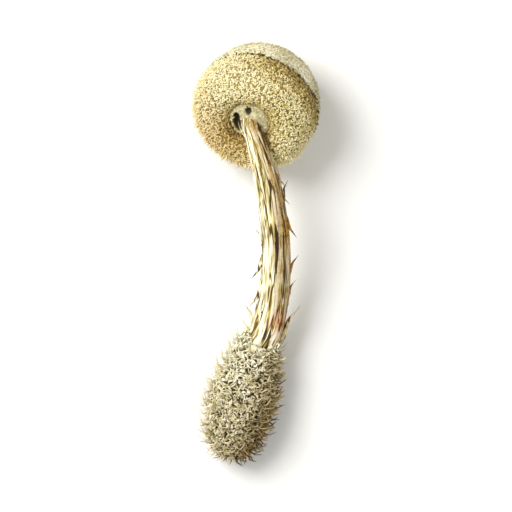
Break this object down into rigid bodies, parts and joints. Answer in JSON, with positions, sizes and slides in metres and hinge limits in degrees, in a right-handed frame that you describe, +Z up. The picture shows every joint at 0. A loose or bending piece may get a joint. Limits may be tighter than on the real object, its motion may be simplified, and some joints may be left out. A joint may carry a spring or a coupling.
{
  "type": "mushroom",
  "caption": "Picked woolly mushroom lying on its side: round head with a thick inrolled tufted margin, curved scaly stem and bristly club-like foot.",
  "frame": {"origin": "on the surface that the mushroom lies on, under the middle of its outline seen from above", "axes": "+Z up from the surface; +Y along the mushroom from its foot to its head; +X to the right as seen from above with the head at the top"},
  "size_m": [0.046, 0.1492, 0.0431],
  "materials": {
    "cap_crown": "matte",
    "cap_wool": "matte",
    "stem": "matte",
    "woolly_foot": "matte"
  },
  "bodies": {
    "root": {"cap_crown": "cap_crown", "cap_wool": "cap_wool", "stem": "stem", "woolly_foot": "woolly_foot"}
  },
  "joints": []
}
